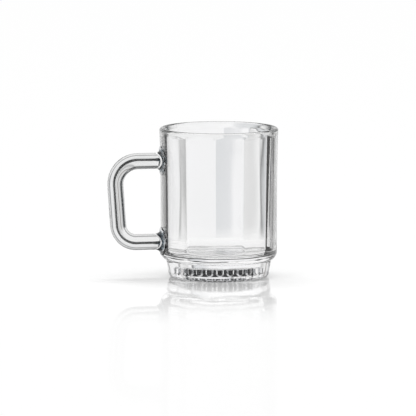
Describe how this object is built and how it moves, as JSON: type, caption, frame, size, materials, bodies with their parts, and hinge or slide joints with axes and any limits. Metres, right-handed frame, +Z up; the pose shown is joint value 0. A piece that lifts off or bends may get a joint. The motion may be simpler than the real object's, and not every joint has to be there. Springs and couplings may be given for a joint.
{
  "type": "glass mug",
  "caption": "Small clear glass mug: round wall with flat panels inside, stepped stacking foot with a fluted recess underneath, and a bent round-rod handle sealed on at both ends.",
  "frame": {"origin": "middle of the mug's footprint, handle included, on the surface that it stands on; the axis of the bowl is 14 mm to the +X side", "axes": "+Z up out of the mouth, -X towards the handle, +Y to the right of someone who looks along the handle from its grip to the bowl"},
  "size_m": [0.09, 0.062, 0.078],
  "materials": {
    "clear_glass": "clear, smooth, fire-polished"
  },
  "bodies": {
    "root": {"bowl": "clear_glass", "stacking_foot": "clear_glass", "handle": "clear_glass", "upper_handle_seal": "clear_glass", "lower_handle_seal": "clear_glass"}
  },
  "joints": []
}
